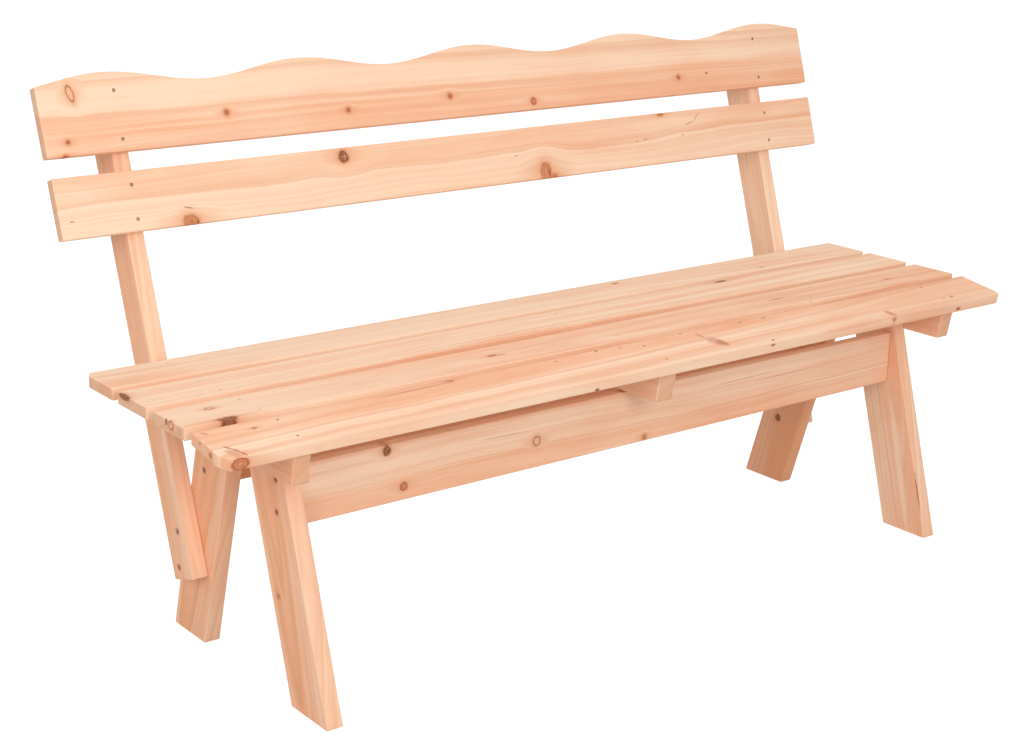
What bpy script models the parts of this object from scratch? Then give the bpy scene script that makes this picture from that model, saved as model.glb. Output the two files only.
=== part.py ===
"""Wooden garden bench: four seat planks on two leg trestles, with a leaning back of two boards.

Metres, +Z up. X runs along the bench, the front is at -Y and the floor is Z = 0. The origin lies on the
floor under the middle of the bench.
"""

import math

import bmesh
import bpy
from mathutils import Matrix

# Stock
BOARD_THICKNESS = 0.018
BOARD_WIDTH = 0.087
TIMBER_THICKNESS = 0.026
TIMBER_DEPTH = 0.059
LEG_WIDTH = 0.090
BATTEN_WIDTH = 0.032
FIT_GAP = 0.0003
EDGE_ROUNDING = 0.0018

# Seat
SEAT_LENGTH = 1.500
SEAT_HEIGHT = 0.4255
SEAT_REAR_Y = 0.1136
PLANK_GAPS = (0.0165, 0.0195, 0.0200)
FRONT_TILT = math.radians(9.0)
FRONT_CORNER_CUT = (0.009, 0.018)
REAR_CORNER_CUT = (0.005, 0.012)

# Legs and rails: the legs of a pair meet ahead of the rear edge of the seat, and the rails are set back
# from the edge of the leg at the rail's top
SEAT_OVERHANG = 0.1330
LEG_LEAN = math.radians(16.6)
LEG_TOPS_SETBACK = 0.1939
LEG_TOP_GAP = 0.0098
RAIL_DROP = 0.0042
APRON_SETBACK = 0.0081
STRETCHER_SETBACK = 0.0048

# Cleats and batten, with setbacks from the edges of the seat
NOSE_SETBACK = 0.0095
NOSE_UNDERCUT = 0.0110
BATTEN_SETBACK = 0.0170

# Back, set in from the ends of the seat, with distances up the posts from the height of the seat and the
# tops of the posts a little below the crests of the top board
BACK_SETBACK = 0.002
BACK_LEAN = math.radians(17.8)
POST_CLEARANCE = 0.0085
POST_BELOW = 0.3251
POST_TOP_DROP = 0.0131
LOWER_BOARD_RISE = 0.1836
BOARD_GAP = 0.0282
WAVE_MIDDLE = 0.1043
WAVE_HEIGHT = 0.0100
WAVE_LENGTH = 0.322
WAVE_STEPS = 84

# Screws, with insets from the edges of the boards
SCREW_SIDES = 12
SCREW_SUNK = 0.0008
SCREW_BITE = 0.027
RAIL_SCREW_BITE = 0.034
LEG_SCREW_COVER = 0.007
SCREW_POINT = 0.005
HEAD_RADIUS = 0.0034
HEAD_RIM = 0.0004
SHANK_RADIUS = 0.0019
RECESS_WIDTH = 0.0009
RECESS_LENGTH = 0.0038
RECESS_DEPTH = 0.0012
EDGE_INSET = 0.0172
LOWER_BOARD_TOP_INSET = 0.0201
RAIL_BOTTOM_INSET = 0.0230
FRONT_PLANK_INSETS = (0.0115, 0.0245)
SECOND_BATTEN_INSET = 0.0149
THIRD_BATTEN_INSET = 0.0575
FRONT_BATTEN_INSETS = (0.0152, 0.0196)
POST_SCREW_RISES = (0.0060, 0.0626)
CUTTER_RISE = 0.004

# Modelling
MERGE_DISTANCE = 0.00001
BEVEL_SEGMENTS = 2
BEVEL_ANGLE = math.radians(30)
SMOOTH_ANGLE = math.radians(35)

UNDERSIDE = SEAT_HEIGHT - BOARD_THICKNESS
SUPPORT_TOP = UNDERSIDE - FIT_GAP
CLEAT_BOTTOM = SUPPORT_TOP - TIMBER_DEPTH
RAIL_TOP = CLEAT_BOTTOM - RAIL_DROP
RAIL_BOTTOM = RAIL_TOP - BOARD_WIDTH
LEG_OUTER_X = SEAT_LENGTH / 2 - SEAT_OVERHANG
LEG_INNER_X = LEG_OUTER_X - TIMBER_THICKNESS
CLEAT_X = LEG_OUTER_X + FIT_GAP + TIMBER_THICKNESS / 2
CLEAT_OUTER_X = CLEAT_X + TIMBER_THICKNESS / 2
LEG_ACROSS = LEG_WIDTH / math.cos(LEG_LEAN)
LEG_TOPS_Y = SEAT_REAR_Y - LEG_TOPS_SETBACK
BACK_LENGTH = SEAT_LENGTH - 2 * BACK_SETBACK
TOP_BOARD_RISE = LOWER_BOARD_RISE + BOARD_WIDTH + BOARD_GAP
POST_ABOVE = TOP_BOARD_RISE + WAVE_MIDDLE + WAVE_HEIGHT - POST_TOP_DROP
FLAT = (0.0, 0.0, 0.0)
SIDES = (("left", -1), ("right", 1))


def clear_scene():
    for obj in list(bpy.data.objects):
        bpy.data.objects.remove(obj, do_unlink=True)


def new_collection(name):
    collection = bpy.data.collections.new(name)
    bpy.context.scene.collection.children.link(collection)
    return collection


def material(name, color, roughness, metallic):
    made = bpy.data.materials.new(name)
    made.use_nodes = True
    shader = made.node_tree.nodes["Principled BSDF"]
    shader.inputs["Base Color"].default_value = (*color, 1.0)
    shader.inputs["Roughness"].default_value = roughness
    shader.inputs["Metallic"].default_value = metallic
    made.diffuse_color = (*color, 1.0)
    return made


def add_object(name, mesh, collection, parent=None):
    obj = bpy.data.objects.new(name, mesh)
    collection.objects.link(obj)
    obj.parent = parent
    return obj


def extruded_mesh(name, corners, thickness):
    """A flat outline in local XY with the given thickness about local Z, as a closed mesh."""
    curve = bpy.data.curves.new(name, "CURVE")
    curve.dimensions = "2D"
    curve.fill_mode = "BOTH"
    curve.extrude = thickness / 2
    spline = curve.splines.new("POLY")
    spline.points.add(len(corners) - 1)
    for point, (x, y) in zip(spline.points, corners):
        point.co = (x, y, 0.0, 1.0)
    spline.use_cyclic_u = True
    guide = bpy.data.objects.new(name + "_outline", curve)
    bpy.context.scene.collection.objects.link(guide)
    graph = bpy.context.evaluated_depsgraph_get()
    mesh = bpy.data.meshes.new_from_object(guide.evaluated_get(graph))
    mesh.name = name
    bpy.data.objects.remove(guide, do_unlink=True)
    shape = bmesh.new()
    shape.from_mesh(mesh)
    bmesh.ops.remove_doubles(shape, verts=shape.verts, dist=MERGE_DISTANCE)
    bmesh.ops.dissolve_limit(shape, angle_limit=0.001, verts=shape.verts, edges=shape.edges)
    bmesh.ops.recalc_face_normals(shape, faces=shape.faces)
    shape.to_mesh(mesh)
    shape.free()
    return mesh


def box_mesh(name, size):
    """A box of the given size about its middle."""
    mesh = bpy.data.meshes.new(name)
    shape = bmesh.new()
    bmesh.ops.create_cube(shape, size=1.0, matrix=Matrix.Diagonal((*size, 1.0)))
    shape.to_mesh(mesh)
    shape.free()
    return mesh


def turned_mesh(name, profile, sides):
    """A profile of (radius, height) points, listed from top to bottom, turned about local Z."""
    mesh = bpy.data.meshes.new(name)
    edges = [(i, i + 1) for i in range(len(profile) - 1)]
    mesh.from_pydata([(radius, 0.0, height) for radius, height in profile], edges, [])
    guide = bpy.data.objects.new(name + "_profile", mesh)
    bpy.context.scene.collection.objects.link(guide)
    turn = guide.modifiers.new("Turn", "SCREW")
    turn.steps = sides
    turn.render_steps = sides
    turn.use_merge_vertices = True
    turn.merge_threshold = MERGE_DISTANCE
    graph = bpy.context.evaluated_depsgraph_get()
    solid = bpy.data.meshes.new_from_object(guide.evaluated_get(graph))
    solid.name = name
    bpy.data.objects.remove(guide, do_unlink=True)
    shape = bmesh.new()
    shape.from_mesh(solid)
    bmesh.ops.recalc_face_normals(shape, faces=shape.faces)
    shape.to_mesh(solid)
    shape.free()
    return solid


def round_edges(obj):
    bevel = obj.modifiers.new("Rounded edges", "BEVEL")
    bevel.width = EDGE_ROUNDING
    bevel.segments = BEVEL_SEGMENTS
    bevel.limit_method = "ANGLE"
    bevel.angle_limit = BEVEL_ANGLE


class Bench:
    """The collections, materials and pieces of the bench, and how pieces and screws join it."""

    def __init__(self):
        self.parts = new_collection("garden_bench")
        self.cutters = new_collection("cutters")
        self.wood = material("raw_softwood", (0.82, 0.56, 0.37), 0.62, 0.0)
        self.steel = material("zinc_plated_steel", (0.36, 0.31, 0.26), 0.45, 1.0)
        self.root = self.empty("bench")
        self.pieces = {}
        self.screw_meshes = {}

    def empty(self, name, parent=None):
        return add_object(name, None, self.parts, parent)

    def wooden(self, name, mesh, parent=None):
        mesh.materials.clear()
        mesh.materials.append(self.wood)
        obj = add_object(name, mesh, self.parts, parent or self.root)
        round_edges(obj)
        self.pieces[name] = obj
        return obj

    def upright(self, name, profile, thickness, x):
        """A piece cut to a profile of (Y, Z) points and standing in the YZ plane at the given X."""
        obj = self.wooden(name, extruded_mesh(name, profile, thickness))
        obj.location = (x, 0.0, 0.0)
        obj.rotation_euler = (math.pi / 2, 0.0, math.pi / 2)
        return obj

    def screw(self, name, length, through, location, rotation, parent=None):
        """A countersunk screw with its head at the location, and its clearance hole in each piece."""
        if length not in self.screw_meshes:
            self.screw_meshes[length] = (self.screw_mesh(length), self.hole_mesh(length))
        body, hole = self.screw_meshes[length]
        obj = add_object(name, body, self.parts, parent or self.root)
        cutter = add_object(name + "_hole", hole, self.cutters, parent or self.root)
        cutter.hide_render = True
        cutter.display_type = "WIRE"
        for each in (obj, cutter):
            each.location = location
            each.rotation_euler = rotation
        for piece in through:
            cut = self.pieces[piece].modifiers.new("Hole for " + name, "BOOLEAN")
            cut.operation = "DIFFERENCE"
            cut.solver = "EXACT"
            cut.object = cutter

    def screw_mesh(self, length):
        """A countersunk head with a cross recess, and a plain shank that ends in a point."""
        top = -SCREW_SUNK
        neck = top - HEAD_RIM - (HEAD_RADIUS - SHANK_RADIUS)
        profile = (
            (0.0, top),
            (HEAD_RADIUS, top),
            (HEAD_RADIUS, top - HEAD_RIM),
            (SHANK_RADIUS, neck),
            (SHANK_RADIUS, SCREW_POINT - length),
            (0.0, -length),
        )
        solid = turned_mesh("screw", profile, SCREW_SIDES)
        solid.materials.append(self.steel)
        obj = add_object("screw_blank", solid, self.cutters)
        for turn in (0.0, math.pi / 2):
            blade = box_mesh("recess", (RECESS_LENGTH, RECESS_WIDTH, 2 * RECESS_DEPTH))
            slot = add_object("recess", blade, self.cutters)
            slot.location = (0.0, 0.0, top)
            slot.rotation_euler = (0.0, 0.0, turn)
            cut = obj.modifiers.new("Recess", "BOOLEAN")
            cut.solver = "EXACT"
            cut.object = slot
        bpy.context.view_layer.update()
        graph = bpy.context.evaluated_depsgraph_get()
        finished = bpy.data.meshes.new_from_object(obj.evaluated_get(graph))
        finished.name = "screw"
        for each in [obj] + [cut.object for cut in obj.modifiers]:
            bpy.data.objects.remove(each, do_unlink=True)
        finished.shade_smooth()
        finished.set_sharp_from_angle(angle=SMOOTH_ANGLE)
        return finished

    def hole_mesh(self, length):
        """The screw's own profile with a gap all round, open above the board."""
        head = HEAD_RADIUS + FIT_GAP
        shank = SHANK_RADIUS + FIT_GAP
        shoulder = -SCREW_SUNK - HEAD_RIM - FIT_GAP / 2
        profile = (
            (0.0, CUTTER_RISE),
            (head, CUTTER_RISE),
            (head, shoulder),
            (shank, shoulder - (head - shank)),
            (shank, SCREW_POINT - length),
            (0.0, -length - 2 * FIT_GAP),
        )
        return turned_mesh("hole", profile, SCREW_SIDES)


def plank_outline(width, front_cut, rear_cut):
    """A seat plank seen from above, from its rear edge at local Y = 0 to its front edge."""
    half = SEAT_LENGTH / 2
    corners = []
    for side in (1, -1):
        rear = [(side * half, 0.0)]
        front = [(side * half, -width)]
        if rear_cut:
            rear = [(side * (half - rear_cut[0]), 0.0), (side * half, -rear_cut[1])]
        if front_cut:
            front = [(side * half, front_cut[1] - width), (side * (half - front_cut[0]), -width)]
        run = rear + front
        corners += run if side > 0 else run[::-1]
    return corners


def plank_rear_y(number):
    """The rear edge of a seat plank, counted from the rear one."""
    return SEAT_REAR_Y - number * BOARD_WIDTH - sum(PLANK_GAPS[:number])


HINGE_Y = plank_rear_y(3)


def build_seat(bench):
    """Four planks with gaps between them, the front one tipped down towards the knees."""
    names = ("seat_plank_rear", "seat_plank_second", "seat_plank_third", "seat_plank_front")
    for number, name in enumerate(names):
        rear_cut = REAR_CORNER_CUT if number == 0 else None
        front_cut = FRONT_CORNER_CUT if number == 3 else None
        mesh = extruded_mesh(name, plank_outline(BOARD_WIDTH, front_cut, rear_cut), BOARD_THICKNESS)
        mesh.transform(Matrix.Translation((0.0, 0.0, -BOARD_THICKNESS / 2)))
        plank = bench.wooden(name, mesh)
        plank.location = (0.0, plank_rear_y(number), SEAT_HEIGHT)
        plank.rotation_euler = (FRONT_TILT if number == 3 else 0.0, 0.0, 0.0)


def support_profile(rear_points):
    """Level under three planks, then sloping under the tipped front plank, with an undercut nose."""
    drop = (BOARD_THICKNESS + FIT_GAP) / math.cos(FRONT_TILT)
    slope = math.tan(FRONT_TILT)
    nose = HINGE_Y - BOARD_WIDTH * math.cos(FRONT_TILT) + NOSE_SETBACK
    bend = HINGE_Y + (SUPPORT_TOP + drop - SEAT_HEIGHT) / slope
    return [
        (nose + NOSE_UNDERCUT, CLEAT_BOTTOM),
        *rear_points,
        (bend, SUPPORT_TOP),
        (nose, SEAT_HEIGHT - drop - (HINGE_Y - nose) * slope),
    ]


def post_front_y(z):
    """The front face of the leaning posts at a height."""
    return SEAT_REAR_Y + POST_CLEARANCE + (z - SEAT_HEIGHT) * math.tan(BACK_LEAN)


def build_supports(bench):
    """A cleat on the outside of each leg pair, and a batten under the middle of the seat."""
    gap = FIT_GAP / math.cos(BACK_LEAN)
    against_post = [(post_front_y(z) - gap, z) for z in (CLEAT_BOTTOM, SUPPORT_TOP)]
    for side, sign in SIDES:
        profile = support_profile(against_post)
        bench.upright("cleat_" + side, profile, TIMBER_THICKNESS, sign * CLEAT_X)
    square = [(SEAT_REAR_Y - BATTEN_SETBACK, z) for z in (CLEAT_BOTTOM, SUPPORT_TOP)]
    bench.upright("batten_centre", support_profile(square), BATTEN_WIDTH, 0.0)


def front_leg_y(z):
    """The front edge of the front legs at a height."""
    return LEG_TOPS_Y - LEG_TOP_GAP / 2 - LEG_ACROSS - (SUPPORT_TOP - z) * math.tan(LEG_LEAN)


def rear_leg_y(z):
    """The rear edge of the rear legs at a height."""
    return LEG_TOPS_Y + LEG_TOP_GAP / 2 + LEG_ACROSS + (SUPPORT_TOP - z) * math.tan(LEG_LEAN)


def build_legs(bench):
    """Two splayed pairs, cut level at the floor and under the seat."""
    edges = (("leg_front_", front_leg_y, 0.0, LEG_ACROSS), ("leg_rear_", rear_leg_y, -LEG_ACROSS, 0.0))
    for side, sign in SIDES:
        x = sign * (LEG_OUTER_X - TIMBER_THICKNESS / 2)
        for name, edge, near, far in edges:
            sole = [(edge(0.0) + near, 0.0), (edge(0.0) + far, 0.0)]
            top = [(edge(SUPPORT_TOP) + far, SUPPORT_TOP), (edge(SUPPORT_TOP) + near, SUPPORT_TOP)]
            bench.upright(name + side, sole + top, TIMBER_THICKNESS, x)


def apron_y():
    """The middle of the apron's thickness."""
    return front_leg_y(RAIL_TOP) + APRON_SETBACK + BOARD_THICKNESS / 2


def stretcher_y():
    """The middle of the stretcher's thickness."""
    return rear_leg_y(RAIL_TOP) - STRETCHER_SETBACK - BOARD_THICKNESS / 2


def build_rails(bench):
    """The apron between the front legs and the matching stretcher between the rear legs."""
    length = 2 * (LEG_INNER_X - FIT_GAP)
    for name, y in (("apron_front", apron_y()), ("stretcher_rear", stretcher_y())):
        rail = bench.wooden(name, box_mesh(name, (length, BOARD_THICKNESS, BOARD_WIDTH)))
        rail.location = (0.0, y, RAIL_BOTTOM + BOARD_WIDTH / 2)


def wave_outline():
    """The top board: a straight lower edge, and an upper edge that follows a cosine wave."""
    half = BACK_LENGTH / 2
    corners = [(-half, 0.0), (half, 0.0)]
    for step in range(WAVE_STEPS + 1):
        x = half - BACK_LENGTH * step / WAVE_STEPS
        corners.append((x, WAVE_MIDDLE + WAVE_HEIGHT * math.cos(math.tau * x / WAVE_LENGTH)))
    return corners


def build_back(bench):
    """Two leaning posts and two boards, in a frame whose Y runs up the posts and Z points forward."""
    frame = bench.empty("back", bench.root)
    frame.location = (0.0, post_front_y(SEAT_HEIGHT), SEAT_HEIGHT)
    frame.rotation_euler = (math.pi / 2 - BACK_LEAN, 0.0, 0.0)
    for side, sign in SIDES:
        name = "post_" + side
        length = POST_BELOW + POST_ABOVE
        post = bench.wooden(name, box_mesh(name, (TIMBER_THICKNESS, length, TIMBER_DEPTH)), frame)
        post.location = (sign * CLEAT_X, (POST_ABOVE - POST_BELOW) / 2, -TIMBER_DEPTH / 2)
    middle = FIT_GAP + BOARD_THICKNESS / 2
    name = "back_board_lower"
    lower = bench.wooden(name, box_mesh(name, (BACK_LENGTH, BOARD_WIDTH, BOARD_THICKNESS)), frame)
    lower.location = (0.0, LOWER_BOARD_RISE + BOARD_WIDTH / 2, middle)
    name = "back_board_top"
    top = bench.wooden(name, extruded_mesh(name, wave_outline(), BOARD_THICKNESS), frame)
    top.location = (0.0, TOP_BOARD_RISE, middle)
    return frame


def screw_back_boards(bench, frame):
    """Two screws a board into each post, driven square to the board."""
    runs = (
        ("back_board_lower", LOWER_BOARD_RISE + EDGE_INSET),
        ("back_board_lower", LOWER_BOARD_RISE + BOARD_WIDTH - LOWER_BOARD_TOP_INSET),
        ("back_board_top", TOP_BOARD_RISE + EDGE_INSET),
        ("back_board_top", TOP_BOARD_RISE + WAVE_MIDDLE - EDGE_INSET),
    )
    length = BOARD_THICKNESS + SCREW_BITE
    for side, sign in SIDES:
        for number, (board, rise) in enumerate(runs):
            place = (sign * CLEAT_X, rise, FIT_GAP + BOARD_THICKNESS)
            name = "screw_back_%s_%d" % (side, number + 1)
            bench.screw(name, length, (board, "post_" + side), place, FLAT, frame)


def screw_trestles(bench):
    """Screws driven along X: posts and cleats into the legs, and legs into the ends of the rails."""
    post_foot_z = SEAT_HEIGHT - POST_BELOW * math.cos(BACK_LEAN)
    lower_z, upper_z = (post_foot_z + rise for rise in POST_SCREW_RISES)
    crossing_y = (post_front_y(upper_z) + rear_leg_y(upper_z)) / 2
    cleat_z = (CLEAT_BOTTOM + SUPPORT_TOP) / 2
    outer_length = 2 * TIMBER_THICKNESS - LEG_SCREW_COVER
    rail_length = TIMBER_THICKNESS + RAIL_SCREW_BITE
    for side, sign in SIDES:
        inward = (0.0, sign * math.pi / 2, 0.0)
        front_leg, rear_leg = "leg_front_" + side, "leg_rear_" + side
        post, cleat = "post_" + side, "cleat_" + side
        outer_runs = (
            ("screw_post_%s_lower", crossing_y, lower_z, (post, rear_leg)),
            ("screw_post_%s_upper", crossing_y, upper_z, (post, rear_leg)),
            ("screw_cleat_%s_front", front_leg_y(cleat_z) + LEG_ACROSS / 2, cleat_z, (cleat, front_leg)),
            ("screw_cleat_%s_rear", rear_leg_y(cleat_z) - LEG_ACROSS / 2, cleat_z, (cleat, rear_leg)),
        )
        for name, y, z, through in outer_runs:
            bench.screw(name % side, outer_length, through, (sign * CLEAT_OUTER_X, y, z), inward)
        rail_runs = (
            ("screw_apron_%s_%s", apron_y(), (front_leg, "apron_front")),
            ("screw_stretcher_%s_%s", stretcher_y(), (rear_leg, "stretcher_rear")),
        )
        levels = (("lower", RAIL_BOTTOM + RAIL_BOTTOM_INSET), ("upper", RAIL_TOP - EDGE_INSET))
        for name, y, through in rail_runs:
            for level, z in levels:
                place = (sign * LEG_OUTER_X, y, z)
                bench.screw(name % (side, level), rail_length, through, place, inward)


def screw_seat(bench):
    """Screws down through the planks into the cleats and the centre batten."""
    rows = [("cleat_" + side, "screw_seat_" + side, sign * CLEAT_X) for side, sign in SIDES]
    for cleat, name, x in rows:
        runs = (
            ("seat_plank_rear", 0, EDGE_INSET),
            ("seat_plank_second", 1, BOARD_WIDTH - EDGE_INSET),
            ("seat_plank_third", 2, EDGE_INSET),
            ("seat_plank_third", 2, BOARD_WIDTH - EDGE_INSET),
            ("seat_plank_front", 3, FRONT_PLANK_INSETS[0]),
            ("seat_plank_front", 3, BOARD_WIDTH - FRONT_PLANK_INSETS[1]),
        )
        for count, (plank, number, inset) in enumerate(runs):
            screw_plank(bench, "%s_%d" % (name, count + 1), plank, cleat, x, number, inset)
    middle = (
        ("seat_plank_rear", 0, EDGE_INSET),
        ("seat_plank_second", 1, SECOND_BATTEN_INSET),
        ("seat_plank_third", 2, THIRD_BATTEN_INSET),
        ("seat_plank_front", 3, FRONT_BATTEN_INSETS[0]),
        ("seat_plank_front", 3, BOARD_WIDTH - FRONT_BATTEN_INSETS[1]),
    )
    for count, (plank, number, inset) in enumerate(middle):
        screw_plank(bench, "screw_batten_%d" % (count + 1), plank, "batten_centre", 0.0, number, inset)


def screw_plank(bench, name, plank, support, x, number, inset):
    """A screw square to a seat plank, at a distance forward from the plank's rear edge."""
    tilt = FRONT_TILT if number == 3 else 0.0
    y = plank_rear_y(number) - inset * math.cos(tilt)
    z = SEAT_HEIGHT - inset * math.sin(tilt)
    length = BOARD_THICKNESS + SCREW_BITE
    bench.screw(name, length, (plank, support), (x, y, z), (tilt, 0.0, 0.0))


def main():
    clear_scene()
    bench = Bench()
    build_seat(bench)
    build_supports(bench)
    build_legs(bench)
    build_rails(bench)
    frame = build_back(bench)
    screw_back_boards(bench, frame)
    screw_trestles(bench)
    screw_seat(bench)


if __name__ == "__main__":
    main()
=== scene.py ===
"""The looks of a wooden garden bench: softwood boards with growth rings and knots, screws and a plain studio.

Mesh code works in metres. The wood materials work in millimetres along each board's own axes.
"""

import math
from collections import namedtuple

import bpy
import numpy as np
from mathutils import Euler, Matrix, Vector


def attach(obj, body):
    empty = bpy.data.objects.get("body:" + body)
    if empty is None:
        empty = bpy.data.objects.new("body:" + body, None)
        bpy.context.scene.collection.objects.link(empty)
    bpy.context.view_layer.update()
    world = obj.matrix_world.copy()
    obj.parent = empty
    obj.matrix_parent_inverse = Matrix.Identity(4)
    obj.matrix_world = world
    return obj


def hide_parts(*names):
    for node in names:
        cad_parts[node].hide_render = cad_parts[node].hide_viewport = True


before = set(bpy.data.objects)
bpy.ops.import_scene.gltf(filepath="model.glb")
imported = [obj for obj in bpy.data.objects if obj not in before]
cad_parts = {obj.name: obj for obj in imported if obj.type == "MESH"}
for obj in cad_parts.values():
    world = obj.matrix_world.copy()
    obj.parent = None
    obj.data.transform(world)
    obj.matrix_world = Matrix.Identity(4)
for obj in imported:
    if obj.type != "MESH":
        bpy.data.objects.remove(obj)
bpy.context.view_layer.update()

bl_info = {
    "name": "Garden Bench Looks",
    "version": (1, 0, 0),
    "blender": (4, 5, 0),
    "location": "3D View > Sidebar > Bench",
    "description": "Finishes the boards and screws of a wooden garden bench, and sets up a plain studio",
    "category": "Object",
}

MM = 0.001

# The boards' attribute that is 1 on their sawn ends
SAWN_ENDS = "sawn_ends"

# Angles of the bench's leaning pieces
FRONT_TILT = math.radians(9.0)
LEG_LEAN = math.radians(16.6)
BACK_LEAN = math.radians(17.8)

# The camera that took the picture, fitted to the bench's edges
IMAGE_WIDTH = 1024
IMAGE_HEIGHT = 755
FOCAL_PIXELS = 1822.35
CENTRE_PIXELS = (513.85, 428.65)
SENSOR_WIDTH = 36.0
CAMERA_PLACE = (-1.7618, -2.1950, 1.1684)
CAMERA_AZIMUTH = math.radians(37.52)
CAMERA_ELEVATION = math.radians(-18.43)
CAMERA_ROLL = math.radians(0.80)

# A screw head is in a face that it meets squarely, less than this far below it
SQUARE_COSINE = 0.99
SINKING = 0.002

# The mesh round a hole reaches out this many hole radii
HOLE_MARGIN = 1.6
ROUNDING_STEPS = 5
SHARP_ANGLE = math.radians(50)
LEVEL_TOLERANCE = 0.00001

WHITE = (1.0, 1.0, 1.0, 1.0)
X_AXIS = (1.0, 0.0, 0.0)
Y_AXIS = (0.0, 1.0, 0.0)
Z_AXIS = (0.0, 0.0, 1.0)
TILTED = (0.0, math.cos(FRONT_TILT), math.sin(FRONT_TILT))
UP_THE_BACK = (0.0, math.sin(BACK_LEAN), math.cos(BACK_LEAN))
ACROSS_THE_POST = (0.0, math.cos(BACK_LEAN), -math.sin(BACK_LEAN))


def metres(name, description, default):
    return bpy.props.FloatProperty(name=name, description=description, default=default, unit="LENGTH")


def tint(name, description, default):
    return bpy.props.FloatVectorProperty(name=name, description=description, subtype="COLOR", default=default)


class BenchSizes(bpy.types.PropertyGroup):
    edge_rounding: metres("Edge rounding", "Radius of the sanded edges", 0.0018)
    grid_step: metres("Grid step", "Coarse spacing of a board's grid", 0.012)
    fine_step: metres("Fine step", "Spacing of the grid round a screw", 0.0005)
    hole_radius: metres("Hole radius", "Radius of a screw's sunk hole", 0.0036)
    hole_depth: metres("Hole depth", "Depth of the hole round a screw's head", 0.0013)
    crush_depth: metres("Crush depth", "Dimple that a screw pulls in the wood", 0.0002)


class BenchColours(bpy.types.PropertyGroup):
    sapwood: tint("Sapwood", "Pale outer wood", (0.970, 0.700, 0.500))
    heartwood: tint("Heartwood", "Rosy inner wood", (0.925, 0.520, 0.330))
    streak: tint("Streak", "Orange bands in the grain", (0.840, 0.390, 0.200))
    latewood: tint("Latewood", "Lines between the rings", (0.720, 0.310, 0.150))
    end_grain: tint("End grain", "Sawn ends of the wood", (0.720, 0.385, 0.225))
    knot: tint("Knot", "Inside of a sound knot", (0.480, 0.165, 0.060))
    knot_rim: tint("Knot rim", "Dark line round a knot", (0.150, 0.055, 0.024))
    knot_red: tint("Red knot", "Inside of a red knot", (0.520, 0.115, 0.045))
    screw: tint("Screw", "Plated steel of the screws", (0.310, 0.155, 0.078))
    floor: tint("Floor", "Studio floor", (0.66, 0.66, 0.66))


# Knots and marks have places and half sizes in millimetres and turns in degrees. They go through the board
# unless level and deep bound them. Reach, in radii, is how far a knot bends the grain. Dark is 0 for red, 1
# for a knot's rim and -1 for sapwood.
KNOT_FIELDS = "along across long wide kind turn reach level deep rough"
Knot = namedtuple("Knot", KNOT_FIELDS, defaults=("brown", 0.0, 3.2, 0.0, 1000.0, 1.0))
MARK_FIELDS = "along across long wide dark turn level deep"
Mark = namedtuple("Mark", MARK_FIELDS, defaults=(0.8, 0.0, 0.0, 1000.0))

# The pith's place, heart's radius, ring's width and wander are in millimetres. Drift and rise move the pith
# across and through for each millimetre along. Rose makes the wood rosier, veer does so along the board,
# streaks makes its bands differ, and ends darkens the sawn ends.
GRAIN_FIELDS = "seed pith_across pith_through heart ring drift rise rose streaks veer wander ends"
Grain = namedtuple("Grain", GRAIN_FIELDS, defaults=(0.0, 0.0, 0.15, 0.4, 0.0, 30.0, 0.6))

# Each kind of knot outwards from its middle: (radii, a colour, another colour, share of the other, cover)
KNOT_REACH = 2.4
KNOT_KINDS = {
    "ring": (
        (0.0, "latewood", "knot", 0.3, 1.0),
        (0.2, "heartwood", "streak", 0.2, 1.0),
        (0.72, "heartwood", "streak", 0.7, 1.0),
        (0.95, "knot", "knot_rim", 0.5, 1.0),
        (1.12, "latewood", "knot", 0.4, 0.7),
        (1.5, "streak", "latewood", 0.5, 0.28),
        (2.4, "streak", "latewood", 0.3, 0.0),
    ),
    "brown": (
        (0.0, "knot", "knot_rim", 0.1, 1.0),
        (0.25, "latewood", "knot", 0.7, 1.0),
        (0.6, "latewood", "knot", 0.5, 1.0),
        (0.85, "latewood", "knot", 0.9, 1.0),
        (1.1, "streak", "latewood", 0.9, 0.6),
        (1.5, "streak", "latewood", 0.5, 0.28),
        (2.4, "streak", "latewood", 0.2, 0.0),
    ),
    "dark": (
        (0.0, "knot", "knot_rim", 0.9, 1.0),
        (0.3, "knot", "knot_rim", 0.35, 1.0),
        (0.48, "knot", "knot_rim", 0.8, 1.0),
        (0.68, "knot", "knot_rim", 0.45, 1.0),
        (0.95, "knot", "knot_rim", 1.0, 1.0),
        (1.12, "latewood", "knot", 0.7, 0.75),
        (1.5, "streak", "latewood", 0.7, 0.3),
        (2.4, "streak", "latewood", 0.3, 0.0),
    ),
    "red": (
        (0.0, "knot_red", "knot_rim", 0.25, 1.0),
        (0.55, "knot_red", "knot", 0.35, 0.95),
        (0.95, "latewood", "knot_red", 0.45, 0.75),
        (1.45, "streak", "knot_red", 0.1, 0.45),
        (2.4, "streak", "heartwood", 0.3, 0.0),
    ),
    "target": (
        (0.0, "knot", "knot_rim", 0.4, 1.0),
        (0.18, "streak", "latewood", 0.8, 1.0),
        (0.42, "knot", "knot_red", 0.5, 1.0),
        (0.58, "latewood", "knot", 0.4, 1.0),
        (0.82, "knot", "knot_red", 0.8, 1.0),
        (0.98, "knot_red", "knot_rim", 0.3, 1.0),
        (1.12, "latewood", "knot_red", 0.45, 0.6),
        (1.45, "streak", "latewood", 0.5, 0.22),
        (2.4, "streak", "latewood", 0.3, 0.0),
    ),
}

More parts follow.
